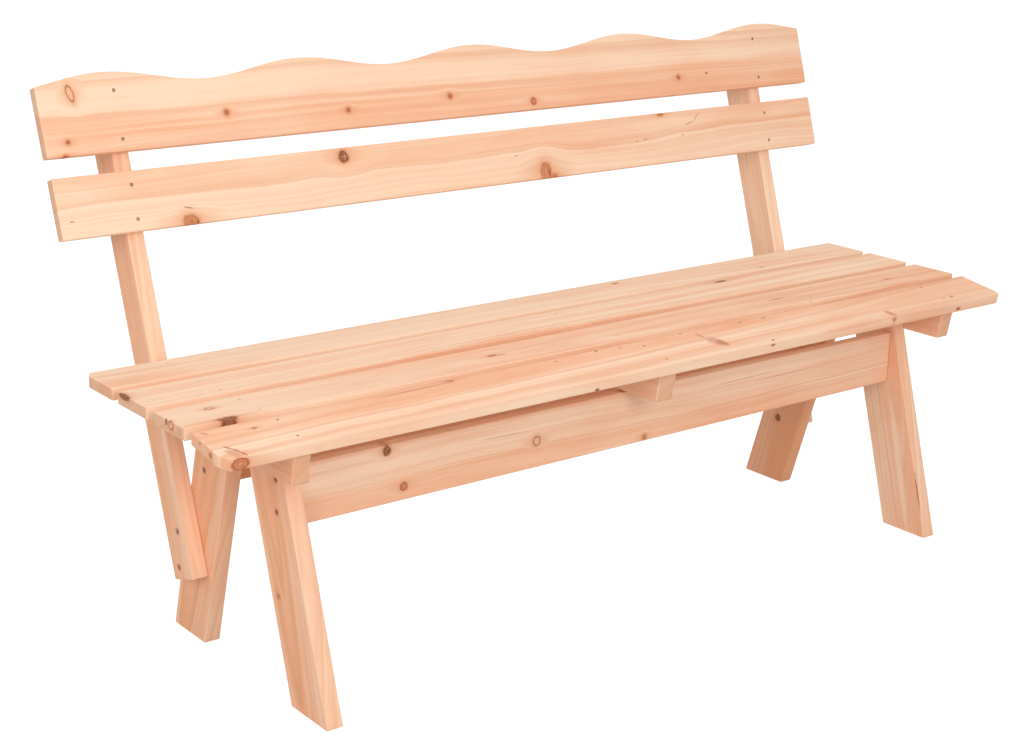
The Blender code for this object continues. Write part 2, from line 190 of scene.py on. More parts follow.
# Noise in the wood: how often it changes per millimetre along, across and through, its seed and its detail
PATTERNS = {
    "wander": ((0.0020, 0.006, 0.006), 0.0, 2.0),
    "uneven": ((0.0003, 0.035, 0.0), 2.4, 2.0),
    "ripple": ((0.011, 0.03, 0.03), 3.1, 2.0),
    "edge": ((0.005, 0.02, 0.02), 5.0, 2.0),
    "wobble": ((0.14, 0.17, 0.17), 7.7, 3.0),
    "grit": ((0.35, 0.8, 0.8), 9.2, 3.0),
    "bands": ((0.0013, 0.055, 0.012), 11.3, 2.0),
    "lines": ((0.0035, 0.42, 0.05), 14.6, 3.0),
    "fibres": ((0.020, 0.9, 0.9), 17.9, 4.0),
    "blotch": ((0.007, 0.022, 0.022), 20.4, 2.0),
    "pores": ((0.060, 2.4, 2.4), 23.1, 2.0),
}

# Soft steps: from, to, and the values there where they aren't 0 and 1
LATE_RISE = (0.25, 0.86)
LATE_FALL = (0.88, 1.0)
HEARTWOOD_STEP = (-0.2, 1.1)
STREAK_STEP = (0.8, 2.0, 0.0, 0.9)
FIBRE_STEP = (0.52, 0.80, 0.0, 0.20)
PORE_STEP = (0.62, 0.80, 0.0, 0.14)
SAWN_STEP = (0.75, 0.95)
ROUGHNESS_STEP = (0.3, 0.7, 0.56, 0.68)
TAIL_STEP = (0.6, 2.1, 0.40, 0.0)
GRIT_STEP = (0.30, 0.55, 0.72, 1.0)
MARK_STEP = (0.5, 1.1, 0.85, 0.0)

# How far noise bends the rings and the heart's border, in millimetres, and how many rings it adds
RIPPLE = 5.0
HEART_EDGE = 14.0
UNEVEN_RINGS = 6.0

# The rosy heart fades out between these distances beyond its radius
HEART_BORDER = (12.0, 4.0)

# The least latewood in a ring, and how much more of it a ring may have
LATE_LEAST = 0.1
LATE_SPREAD = 0.9

# How strongly each thing makes the wood rosier
ROSY_HEART = 0.6
ROSY_BANDS = 5.0
ROSY_LINES = 1.4
ROSY_BLOTCHES = 1.3
ORANGE_LINES = 0.8

# How much of the latewood's colour shows on a face and on a sawn end
LATE_COVER = 0.42
SAWN_LATE_COVER = 0.55

# A knot's tail is longer than the knot, and the grain starts to bend further out along it
TAIL_STRETCH = (0.36, 1.0, 1.0)
BEND_STRETCH = (0.55, 1.0, 1.0)
BEND_START = 0.3
BEND_SHARE = 0.85

# How ragged the outlines of knots and marks are
WOBBLE = 0.75
MARK_WOBBLE = 0.7

# The surface's relief, in parts of the bump's distance
FIBRE_RELIEF = 0.5
PORE_RELIEF = 0.3
LATE_RELIEF = 0.35
BUMP = {"Strength": 0.30, "Distance": 0.0004}
GLOSS = {"Specular IOR Level": 0.18}


class Value:
    """A socket in a node tree. Arithmetic on it adds Math nodes."""

    def __init__(self, maker, socket):
        self.maker = maker
        self.socket = socket

    def math(self, operation, *values):
        return self.maker.node("ShaderNodeMath", {"operation": operation}, dict(enumerate(values)))

    def __add__(self, other):
        return self.math("ADD", self, other)

    def __sub__(self, other):
        return self.math("SUBTRACT", self, other)

    def __rsub__(self, other):
        return self.math("SUBTRACT", other, self)

    def __mul__(self, other):
        return self.math("MULTIPLY", self, other)

    def __truediv__(self, other):
        return self.math("DIVIDE", self, other)

    def __rtruediv__(self, other):
        return self.math("DIVIDE", other, self)

    __radd__ = __add__
    __rmul__ = __mul__


class Maker:
    """Adds nodes to one tree, and the few patterns that the materials share."""

    def __init__(self, tree):
        self.tree = tree

    def node(self, kind, settings=None, inputs=None, output=0):
        made = self.tree.nodes.new(kind)
        for name, value in (settings or {}).items():
            if name == "stops":
                self.set_stops(made.color_ramp, value)
            else:
                setattr(made, name, value)
        for key, value in (inputs or {}).items():
            if isinstance(value, Value):
                self.tree.links.new(value.socket, made.inputs[key])
            else:
                made.inputs[key].default_value = value
        if isinstance(output, tuple):
            return [Value(self, made.outputs[each]) for each in output]
        if len(made.outputs):
            return Value(self, made.outputs[output])
        return None

    def set_stops(self, ramp, stops):
        while len(ramp.elements) < len(stops):
            ramp.elements.new(0.5)
        for element, (position, colour) in zip(ramp.elements, stops):
            element.position = position
            element.color = colour

    def smooth(self, value, low, high, to_low=0.0, to_high=1.0):
        """A soft step from to_low to to_high as the value goes from low to high."""
        inputs = {"Value": value, "From Min": low, "From Max": high, "To Min": to_low, "To Max": to_high}
        return self.node("ShaderNodeMapRange", {"interpolation_type": "SMOOTHSTEP"}, inputs)

    def mix(self, share, first, second):
        """A colour between the first and the second."""
        return self.node("ShaderNodeMix", {"data_type": "RGBA"}, {0: share, 6: first, 7: second}, output=2)

    def noise(self, vector, seed, detail):
        settings = {"noise_dimensions": "4D"}
        inputs = {"Vector": vector, "W": seed, "Scale": 1.0, "Detail": detail}
        return self.node("ShaderNodeTexNoise", settings, inputs)

    def stretched(self, vector, scale):
        """The vector with each of its axes scaled by itself."""
        settings = {"operation": "MULTIPLY"}
        return self.node("ShaderNodeVectorMath", settings, {0: vector, 1: scale})

    def length_of(self, vector):
        settings = {"operation": "LENGTH"}
        return self.node("ShaderNodeVectorMath", settings, {0: vector}, output="Value")

    def placed(self, vector, place, turn, scale):
        """The vector measured from a place, along turned axes, in units of the scale."""
        inputs = {"Vector": vector, "Location": place, "Rotation": turn, "Scale": scale}
        return self.node("ShaderNodeMapping", {"vector_type": "TEXTURE"}, inputs)


def new_material(name):
    made = bpy.data.materials.new(name)
    made.use_nodes = True
    made.node_tree.nodes.clear()
    return made, Maker(made.node_tree)


def opaque(colour, alpha=1.0):
    return (*colour[:3], alpha)


def vertex_data(mesh, name):
    """A mesh's positions or normals, with a row for each vertex."""
    found = np.empty(3 * len(mesh.vertices))
    mesh.vertices.foreach_get(name, found)
    return found.reshape(-1, 3)


class Board:
    """One piece of wood: its CAD node, and its own axes along the grain, across the face and through it.

    The slant is how much longer an inset from an end is along the board than square to the end. Knots are
    measured across the board from its zero line. The wood closes over screw heads down to the hole share of
    their holes' radius.
    """

    slant = 1.0
    zero = 0.0
    hole_share = 1.0

    def __init__(self, node, along, across):
        self.node = node
        self.axes = np.array([along, across, np.cross(along, across)])
        self.points = vertex_data(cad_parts[node].data, "co")
        local = self.points @ self.axes.T
        self.low = local.min(axis=0)
        self.high = local.max(axis=0)
        self.length, self.width, self.thickness = self.high - self.low
        self.middle = (self.low[2] + self.high[2]) / 2

    def start(self, across):
        return np.full_like(across, self.low[0])

    def end(self, across):
        return np.full_like(across, self.high[0])

    def lower(self, along):
        return np.full_like(along, self.low[1])

    def upper(self, along):
        return np.full_like(along, self.high[1])

    def places(self, down, share, inset):
        """(along, across) at shares of the length and width inside the inset outline.

        The ends depend on the place across and the edges on the place along, so the two are settled in turn.
        """
        across = self.low[1] + inset + share * (self.width - 2 * inset)
        for _ in range(3):
            start = self.start(across) + inset * self.slant
            end = self.end(across) - inset * self.slant
            along = start + down * (end - start)
            floor, roof = self.lower(along) + inset, self.upper(along) - inset
            across = floor + share * (roof - floor)
        return along, across

    def shares(self, along, across, inset):
        """The shares of the length and width at which a place lies."""
        at, up = np.array([along]), np.array([across])
        start, end = self.start(up) + inset * self.slant, self.end(up) - inset * self.slant
        floor, roof = self.lower(at) + inset, self.upper(at) - inset
        return ((at - start) / (end - start))[0], ((up - floor) / (roof - floor))[0]


class Plank(Board):
    """A seat plank whose corners may be cut off: by the end and by the edge, as (along, across).

    The knots of the three level planks are all measured from one line.
    """

    NO_CUTS = ((0.0, 1.0), (0.0, 1.0))
    zero = -0.0033
    hole_share = 0.5

    def __init__(self, node, across=Y_AXIS, lower_cuts=NO_CUTS, upper_cuts=NO_CUTS):
        super().__init__(node, X_AXIS, across)
        self.lower_cuts = lower_cuts
        self.upper_cuts = upper_cuts

    def cut(self, across, side):
        """How far an end is set back at each place across: a straight cut at each corner."""
        set_back = np.zeros_like(across)
        gaps = ((self.lower_cuts[side], across - self.low[1]), (self.upper_cuts[side], self.high[1] - across))
        for (depth, run), gap in gaps:
            set_back += depth * np.clip(1.0 - gap / run, 0.0, 1.0)
        return set_back

    def start(self, across):
        return self.low[0] + self.cut(across, 0)

    def end(self, across):
        return self.high[0] - self.cut(across, 1)


class BackBoard(Board):
    """A board of the back, with its screws drawn in tight."""

    hole_share = 0.66


class WavyBoard(BackBoard):
    """The top board of the back: its upper edge follows a cosine wave with a crest in the middle."""

    WAVE_HEIGHT = 0.0100
    WAVE_LENGTH = 0.322

    def upper(self, along):
        wave = np.cos(math.tau * along / self.WAVE_LENGTH)
        return self.high[1] - self.WAVE_HEIGHT * (1.0 - wave)


class Leg(Board):
    """A leaning leg, cut level at the floor and under the seat."""

    slant = 1.0 / math.cos(LEG_LEAN)

    def level_cut(self, across, height):
        return (height - across * self.axes[1][2]) / self.axes[0][2]

    def start(self, across):
        return self.level_cut(across, self.points[:, 2].min())

    def end(self, across):
        return self.level_cut(across, self.points[:, 2].max())


class Support(Board):
    """A cleat or batten: level, then sloping down under the tipped front plank to an undercut nose."""

    NOSE_UNDERCUT = 0.0110

    def __init__(self, node, rear_lean):
        super().__init__(node, Y_AXIS, Z_AXIS)
        level = self.points[:, 2] > self.high[1] - LEVEL_TOLERANCE
        self.bend = self.points[level, 1].min()
        self.rear_lean = rear_lean

    def start(self, across):
        return self.low[0] + self.NOSE_UNDERCUT * (self.high[1] - across) / self.width

    def end(self, across):
        return self.high[0] - (self.high[1] - across) * math.tan(self.rear_lean)

    def upper(self, along):
        return self.high[1] - np.clip(self.bend - along, 0.0, None) * math.tan(FRONT_TILT)


def graded(low, high, step, fine, reach, places):
    """Positions from low to high about a step apart, and a fine step apart within reach of each place."""
    count = max(2, math.ceil((high - low) / step) + 1)
    kept = np.linspace(low, high, count)
    margin = np.array([low, low + fine, high - fine, high])
    for place in places:
        kept = kept[np.abs(kept - place) > reach]
    near = [np.arange(place - reach, place + reach + fine / 2, fine) for place in places]
    found = np.concatenate([kept, margin, *near])
    found = np.unique(np.clip(found, low, high))
    spaced = np.concatenate([[True], np.diff(found) > fine / 3])
    spaced[-1] = True
    return found[spaced]


def screw_head(node):
    """(the middle of a screw's head, the direction it faces), from the screw's own points."""
    points = vertex_data(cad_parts[node].data, "co")
    points = np.unique(np.round(points, 6), axis=0)
    middle = points.mean(axis=0)
    tip = points[np.argmax(np.linalg.norm(points - middle, axis=1))]
    facing = (middle - tip) / np.linalg.norm(middle - tip)
    return tip + facing * ((points - tip) @ facing).max(), facing


def holes_in(board, heads):
    """The (along, across, face) of each screw head that is sunk in one of the board's two wide faces."""
    found = []
    for middle, facing in heads:
        along, across, through = board.axes @ middle
        face = np.sign(through - board.middle)
        sunk = board.thickness / 2 - abs(through - board.middle)
        square = abs(board.axes[2] @ facing) > SQUARE_COSINE
        inside = board.low[0] < along < board.high[0] and board.low[1] < across < board.high[1]
        if square and inside and abs(sunk) < SINKING:
            found.append((along, across, face))
    return found


def sunk(along, across, hole, radius, sizes):
    """Depth of a screw's hole: level out to its radius, a steep wall, and a dimple that fades out."""
    distance = np.hypot(along - hole[0], across - hole[1])
    wall = np.clip((radius + sizes.fine_step - distance) / sizes.fine_step, 0.0, 1.0)
    dimple = np.exp(-((distance / (2 * radius)) ** 2))
    return sizes.hole_depth * wall + sizes.crush_depth * dimple


def board_points(board, sizes, holes):
    """The board's wide faces as two grids, and rings that carry a quarter round along its outline.

    Along and across run evenly from edge to edge of the outline. Each edge is a quarter circle: its height
    is the sine and its reach outwards is the cosine of an angle that goes from the top to the bottom.
    """
    radius = sizes.edge_rounding
    spots = [board.shares(along, across, radius) for along, across, _ in holes]
    reach = HOLE_MARGIN * sizes.hole_radius
    runs = []
    for axis in (0, 1):
        size = board.length if axis == 0 else board.width
        step = sizes.grid_step if axis == 0 else sizes.grid_step / 2
        places = [spot[axis] for spot in spots]
        runs.append(graded(0.0, 1.0, step / size, sizes.fine_step / size, reach / size, places))
    down, share = np.meshgrid(runs[0], runs[1], indexing="ij")
    along, across = board.places(down, share, radius)
    half = board.thickness / 2
    faces = []
    for face in (1, -1):
        depth = np.zeros_like(along)
        for hole in holes:
            if hole[2] == face:
                depth += sunk(along, across, hole, board.hole_share * sizes.hole_radius, sizes)
        faces.append(np.stack([along, across, board.middle + face * (half - depth)], axis=-1))
    return faces[0], faces[1]


def outline_order(rows, columns):
    """Indices of a grid's border, once round, anticlockwise as seen from above."""
    index = np.arange(rows * columns).reshape(rows, columns)
    return np.concatenate([index[:, 0], index[-1, 1:], index[-2::-1, -1], index[0, -2:0:-1]])


def board_mesh(board, sizes, holes):
    top, bottom = board_points(board, sizes, holes)
    rows, columns = top.shape[:2]
    border = outline_order(rows, columns)
    loop = top.reshape(-1, 3)[border, :2]
    heights = [face.reshape(-1, 3)[border, 2] for face in (top, bottom)]
    ahead = np.roll(loop, -1, axis=0) - np.roll(loop, 1, axis=0)
    ahead /= np.linalg.norm(ahead, axis=1, keepdims=True)
    outward = np.stack([ahead[:, 1], -ahead[:, 0]], axis=1)
    radius = sizes.edge_rounding
    turns = np.linspace(0.0, math.pi / 2, ROUNDING_STEPS + 1)[1:]
    profile = [(0, radius * math.sin(t), -radius * (1.0 - math.cos(t))) for t in turns]
    profile += [(1, out, -drop) for _, out, drop in reversed(profile)]
    rings = [np.column_stack([loop + outward * out, heights[face] + rise]) for face, out, rise in profile]
    points = np.concatenate([top.reshape(-1, 3), bottom.reshape(-1, 3), *rings])
    cells = np.arange(rows * columns).reshape(rows, columns)
    a, b, c, d = cells[:-1, :-1], cells[1:, :-1], cells[1:, 1:], cells[:-1, 1:]
    lid = np.stack([a, b, c, d], axis=-1).reshape(-1, 4)
    base = lid[:, ::-1] + rows * columns
    count = len(border)
    around = [border]
    around += [2 * rows * columns + ring * count + np.arange(count) for ring in range(len(profile))]
    around.append(border + rows * columns)
    sides = []
    for upper, lower in zip(around, around[1:]):
        sides.append(np.stack([lower, np.roll(lower, -1), np.roll(upper, -1), upper], axis=-1))
    return points @ board.axes, np.concatenate([lid, base, *sides])


def new_piece(name, points, faces):
    """A mesh object from arrays of points and four-sided faces, smooth but for its corners."""
    mesh = bpy.data.meshes.new(name)
    mesh.vertices.add(len(points))
    mesh.vertices.foreach_set("co", np.ascontiguousarray(points, dtype=np.float32).ravel())
    mesh.loops.add(faces.size)
    mesh.loops.foreach_set("vertex_index", np.ascontiguousarray(faces, dtype=np.int32).ravel())
    mesh.polygons.add(len(faces))
    mesh.polygons.foreach_set("loop_start", np.arange(0, faces.size, 4, dtype=np.int32))
    mesh.update(calc_edges=True)
    mesh.shade_smooth()
    mesh.set_sharp_from_angle(angle=SHARP_ANGLE)
    piece = bpy.data.objects.new(name, mesh)
    bpy.context.scene.collection.objects.link(piece)
    return piece


def mark_ends(piece, board):
    """Stores how squarely each point's surface faces along the board: 1 on a sawn end, 0 on a long face."""
    facing = np.abs(vertex_data(piece.data, "normal") @ board.axes[0])
    attribute = piece.data.attributes.new(SAWN_ENDS, "FLOAT", "POINT")
    attribute.data.foreach_set("value", facing.astype(np.float32))


def shade(first, second, share):
    return [a * (1.0 - share) + b * share for a, b in zip(first, second)]


def knot_stops(kind, colours):
    stops = []
    for radii, first, second, share, cover in KNOT_KINDS[kind]:
        colour = shade(getattr(colours, first), getattr(colours, second), share)
        stops.append((radii / KNOT_REACH, opaque(colour, cover)))
    return stops


class Wood:
    """One board's softwood: growth rings about a pith, fibres, rosy bands, sawn ends, knots and marks.

    Its own coordinates are millimetres along, across and through the board. A ring's place is its distance
    from the pith, which drifts along the board, bent by noise and round the knots.
    """

    def __init__(self, board, grain, knots, colours):
        self.material, self.maker = new_material("wood_" + board.node)
        self.grain = grain
        self.colours = colours
        self.own = self.own_coordinates(board)
        split = self.maker.node("ShaderNodeSeparateXYZ", None, {0: self.own}, output=(0, 1, 2))
        self.along, self.across, self.through = split
        self.wobble = (self.pattern("wobble") - 0.5) * WOBBLE
        self.grit = self.pattern("grit")
        self.fibres = self.pattern("fibres")
        self.pores = self.pattern("pores")
        self.radius = self.distance_from_pith(knots)
        parts = {0: self.along, 1: self.radius, 2: self.through}
        self.layers = self.maker.node("ShaderNodeCombineXYZ", None, parts)
        self.late = self.latewood()

    def own_coordinates(self, board):
        origin = board.axes.T @ np.array([0.0, board.zero, board.middle])
        turn = Matrix(board.axes.T.tolist()).to_euler()
        coords = self.maker.node("ShaderNodeTexCoord", output="Object")
        return self.maker.placed(coords, origin, turn, (MM, MM, MM))

    def pattern(self, name, vector=None):
        """Noise from 0 to 1, on the wood's own coordinates or on its layers."""
        stretch, seed, detail = PATTERNS[name]
        place = self.maker.stretched(vector or self.own, stretch)
        return self.maker.noise(place, self.grain.seed + seed, detail)

    def ellipse(self, mark):
        """A place in the mark's own radii, with the mark's middle at the origin."""
        place = (mark.along, mark.across, mark.level)
        turn = (0.0, 0.0, math.radians(mark.turn))
        return self.maker.placed(self.own, place, turn, (mark.long, mark.wide, mark.deep))

    def bend_round(self, across, knot):
        """The across value bent so that the grain flows round a knot."""
        away = self.maker.length_of(self.maker.stretched(self.ellipse(knot), BEND_STRETCH))
        share = self.maker.smooth(away, BEND_START, knot.reach, BEND_SHARE, 0.0)
        return across - (across - knot.across) * share

    def distance_from_pith(self, knots):
        bent = self.across
        for knot in knots:
            bent = self.bend_round(bent, knot)
        wander = (self.pattern("wander") - 0.5) * self.grain.wander
        ripple = (self.pattern("ripple") - 0.5) * RIPPLE
        side = bent + wander + ripple - self.grain.pith_across + self.along * self.grain.drift
        deep = self.through - self.grain.pith_through + self.along * self.grain.rise
        squared = side * side + deep * deep
        return squared.math("SQRT", squared)

    def latewood(self):
        """How dark the latewood is: it grows over a ring and stops sharply, and varies from ring to ring."""
        turns = self.radius / self.grain.ring + self.pattern("uneven", self.layers) * UNEVEN_RINGS
        ring = turns.math("FRACT", turns)
        number = turns.math("FLOOR", turns)
        settings = {"noise_dimensions": "1D"}
        chance = self.maker.node("ShaderNodeTexWhiteNoise", settings, {"W": number}, output="Value")
        late = self.maker.smooth(ring, *LATE_RISE) - self.maker.smooth(ring, *LATE_FALL)
        return late * (chance * chance * LATE_SPREAD + LATE_LEAST)

    def clear_colour(self):
        """The wood without knots: rosy and pale bands that follow the rings, and rosier inside the heart."""
        maker, grain, colours = self.maker, self.grain, self.colours
        edge = self.pattern("edge") * HEART_EDGE
        outer, inner = HEART_BORDER
        heart = maker.smooth(self.radius + edge, grain.heart + outer, grain.heart + inner)
        bands = self.pattern("bands", self.layers) - 0.5
        lines = self.pattern("lines", self.layers) - 0.5
        blotch = self.pattern("blotch") - 0.5
        rosy = heart * ROSY_HEART + bands * (ROSY_BANDS * grain.streaks) + lines * ROSY_LINES + grain.rose
        rosy = rosy + self.along * grain.veer + blotch * ROSY_BLOTCHES
        latewood = opaque(colours.latewood)
        share = maker.smooth(rosy, *HEARTWOOD_STEP)
        colour = maker.mix(share, opaque(colours.sapwood), opaque(colours.heartwood))
        orange = maker.smooth(rosy + lines * ORANGE_LINES, *STREAK_STEP)
        colour = maker.mix(orange, colour, opaque(colours.streak))
        colour = maker.mix(self.late * LATE_COVER, colour, latewood)
        colour = maker.mix(maker.smooth(self.fibres, *FIBRE_STEP), colour, latewood)
        return maker.mix(maker.smooth(self.pores, *PORE_STEP), colour, latewood)

    def add_sawn_ends(self, colour):
        maker, colours = self.maker, self.colours
        cover = self.late * SAWN_LATE_COVER
        sawn = maker.mix(cover, opaque(colours.end_grain), opaque(colours.latewood))
        facing = maker.node("ShaderNodeAttribute", {"attribute_name": SAWN_ENDS}, output="Fac")
        return maker.mix(maker.smooth(facing, *SAWN_STEP) * self.grain.ends, colour, sawn)

    def add_knot(self, colour, knot):
        """The colour with a knot laid over it: a faint tail along the grain, and the stops of its kind."""
        maker, colours = self.maker, self.colours
        inside = self.ellipse(knot)
        tail = maker.length_of(maker.stretched(inside, TAIL_STRETCH))
        stain = opaque(shade(colours.streak, colours.latewood, 0.6))
        colour = maker.mix(maker.smooth(tail, *TAIL_STEP), colour, stain)
        distance = maker.length_of(inside) + self.wobble * knot.rough
        settings = {"stops": knot_stops(knot.kind, colours)}
        place = {0: distance / KNOT_REACH}
        inner, cover = maker.node("ShaderNodeValToRGB", settings, place, output=("Color", "Alpha"))
        return maker.mix(cover * maker.smooth(self.grit, *GRIT_STEP), colour, inner)

    def add_mark(self, colour, mark):
        """The colour with a mark laid over it: darker for a tone above 0, and paler for one below it."""
        away = self.maker.length_of(self.ellipse(mark)) + self.wobble * MARK_WOBBLE
        darker = shade(self.colours.knot_red, self.colours.knot_rim, max(mark.dark, 0.0))
        tone = opaque(shade(darker, self.colours.sapwood, max(-mark.dark, 0.0)))
        return self.maker.mix(self.maker.smooth(away, *MARK_STEP), colour, tone)

    def add_shader(self, colour):
        """Dull wood whose fibres and pores stand up a little, and whose latewood lies lower."""
        maker = self.maker
        height = self.fibres * FIBRE_RELIEF + self.pores * PORE_RELIEF - self.late * LATE_RELIEF
        bump = maker.node("ShaderNodeBump", None, {"Height": height, **BUMP})
        roughness = maker.smooth(self.fibres, *ROUGHNESS_STEP)
        inputs = {"Base Color": colour, "Roughness": roughness, "Normal": bump, **GLOSS}
        shader = maker.node("ShaderNodeBsdfPrincipled", None, inputs)
        maker.node("ShaderNodeOutputMaterial", None, {"Surface": shader})


def wood_material(board, grain, knots, marks, colours):
    wood = Wood(board, grain, knots, colours)
    colour = wood.add_sawn_ends(wood.clear_colour())
    for knot in knots:
        colour = wood.add_knot(colour, knot)
    for mark in marks:
        colour = wood.add_mark(colour, mark)
    wood.add_shader(colour)
    return wood.material


def screw_stains(board, holes):
    """A brown ring, in millimetres, round each screw that isn't drawn in tight."""
    if board.hole_share < 1.0:
        return ()
    radius, tone, deep = 6.6, -0.15, 8.0
    stains = []
    for along, across, face in holes:
        across = (across - board.zero) / MM
        level = face * board.thickness / 2 / MM
        stains.append(Mark(along / MM, across, radius, radius, tone, level=level, deep=deep))
    return tuple(stains)


def finish_board(board, grain, knots=(), marks=()):
    """Replaces a board's CAD node with its finished surface and its own wood."""
    scene = bpy.context.scene
    heads = [screw_head(name) for name in sorted(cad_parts) if name.startswith("screw_")]
    holes = holes_in(board, heads)
    points, faces = board_mesh(board, scene.bench_sizes, holes)
    piece = new_piece("finished_" + board.node, points, faces)
    mark_ends(piece, board)
    marks = (*marks, *screw_stains(board, holes))
    piece.data.materials.append(wood_material(board, grain, knots, marks, scene.bench_colours))
    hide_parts(board.node)
    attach(piece, "root")


class BENCH_OT_seat_planks(bpy.types.Operator):
    """Finish the four planks of the seat"""

    bl_idname = "bench.seat_planks"
    bl_label = "Seat Planks"

    def execute(self, context):
        self.rear_plank()
        self.second_plank()
        self.third_plank()
        self.front_plank()
        return {"FINISHED"}

    def rear_plank(self):
        board = Plank("seat_plank_rear", upper_cuts=((0.007, 0.014), (0.002, 0.004)))
        grain = Grain(1, 30, -26, heart=30, ring=12, drift=0.02, rise=0.01, streaks=0.5, veer=0.0001)
        finish_board(board, grain, (Knot(209, 98.5, 6, 2.2, "dark"), Knot(503, 44, 3, 1.5, "dark")))

    def second_plank(self):
        board = Plank("seat_plank_second")
        grain = Grain(2, -74, -20, heart=30, ring=10, drift=-0.012, streaks=0.65, veer=0.0002)
        knots = (
            Knot(369, 9, 11, 5, "dark"),
            Knot(-750, -9, 4, 14, "dark", level=7, deep=4.5),
        )
        finish_board(board, grain, knots)

    def third_plank(self):
        board = Plank("seat_plank_third")
        grain = Grain(
            3, -150, -30, heart=30, ring=11,
            drift=0.015, rise=-0.01, rose=0.45, streaks=0.6, veer=0.0003
        )
        knots = (
            Knot(-683.9, -125.2, 5.5, 4.5, "ring"),
            # Painted shade: this dark knot stands in for the shaded inside of a hole at the plank's front
            # edge.
            Knot(-685.3, -176, 14, 6, "dark"),
            Knot(-226, -136, 8, 4),
            Knot(363, -133.4, 14, 2),
            Knot(622.6, -141.7, 5, 3),
            Knot(-750, -144, 3, 6, "ring", level=3, deep=5.5),
        )
        marks = (
            Mark(-750, -131, 3, 3.5, level=5, deep=6),
            Mark(-750, -167, 4, 8, -0.45, deep=8),
            Mark(-691, -172.5, 5, 2.2, -0.3, turn=12),
            Mark(398, -176.5, 4, 1.5),
            Mark(-210, -140.5, 9, 1.2, 0.6),
        )
        finish_board(board, grain, knots, marks)

    def front_plank(self):
        board = Plank("seat_plank_front", TILTED, lower_cuts=((0.010, 0.019), (0.006, 0.009)))
        board.zero = board.high[1]
        grain = Grain(
            4, -10, -24, heart=36, ring=12,
            drift=-0.01, rise=0.012, rose=0.42, streaks=0.6, veer=0.0004, ends=0.35
        )
        knots = (
            Knot(-727, -88, 12, 14, "target", reach=2, level=-0.5, deep=8.5, rough=0.3),
            Knot(-750, -52, 5, 4, "red", reach=2, deep=4),
            Knot(-670.6, -21.7, 3.6, 2.4),
            Knot(-349, -1, 7, 5),
        )
        finish_board(board, grain, knots, self.corner_marks() + self.edge_marks() + self.top_marks())

    def corner_marks(self):
        """The red line that sweeps back from the corner's knot, and the orange wood beside it."""
        return (
            Mark(-730.5, -71, 14, 7, -0.45, turn=-62, level=9, deep=4),
            Mark(-728.6, -57.9, 8.5, 2.2, -0.05, turn=-55, level=9, deep=4),
            Mark(-722.4, -68.6, 8.5, 2.6, -0.05, turn=-65, level=9, deep=4),
            Mark(-718.1, -79.2, 7, 2.4, -0.05, turn=-72, level=9, deep=4),
            Mark(-737.5, -9.5, 7.5, 2.4, -0.3, turn=-53, level=9, deep=4),
            Mark(-750, -24, 3, 2.2, 0.1, level=4, deep=2.5),
        )

    def edge_marks(self):
        """What shows on the plank's front edge, and the wedges that reach up from it."""
        return (
            Mark(120, -48, 14, 22, -0.4, turn=20),
            Mark(125, -56, 9, 14, -0.2, turn=25),
            Mark(109.5, -21, 4, 12, -0.35, turn=8),
            Mark(483, -75, 8, 15, -0.3, turn=4),
            Mark(481, -88, 6, 5, -0.15, level=3.5, deep=4.5),
            # Painted shade: the near-black mark below stands in for the shaded inside of a hole in the front
            # face.
            Mark(-147, -88, 5, 4, 0.9, level=-6.5, deep=3),
            Mark(642, -88, 8, 4, 0.3, level=-3, deep=4),
            Mark(204, -88, 6, 3, 0.4, level=4.6, deep=3),
        )

    def top_marks(self):
        """Dark specks, and a long thin dark line, near the plank's rear edge."""
        return (
            Mark(648, -63.8, 7, 2.5, 0.3),
            Mark(210, -80, 6, 2, 0.6, turn=20),
            Mark(-411, -8.2, 68, 0.8, 0.8, turn=1.7),
            Mark(-165, -9.6, 5, 1.2, 0.4),
            Mark(-83, -3, 4, 2, 0.7),
            Mark(-40, -7.3, 5, 1.2, 0.4),
            Mark(85, -2, 4, 1.6, 0.7),
            Mark(210, -4, 6, 1.3, 0.7),
            Mark(260, -5.6, 7, 1.3, 0.7),
        )


class BENCH_OT_supports(bpy.types.Operator):
    """Finish the two end cleats and the centre batten under the seat"""

    bl_idname = "bench.supports"
    bl_label = "Cleats and Batten"

    LEANS = {"cleat_left": BACK_LEAN, "cleat_right": BACK_LEAN, "batten_centre": 0.0}
    ROSES = {"cleat_left": 1.0, "cleat_right": 0.9, "batten_centre": 0.55}

    def execute(self, context):
        for count, (node, lean) in enumerate(self.LEANS.items()):
            grain = Grain(20 + count, 330, 30, heart=20, ring=8, rose=self.ROSES[node])
            finish_board(Support(node, lean), grain, (Knot(-60 + 50 * count, 372, 5, 4),))
        return {"FINISHED"}


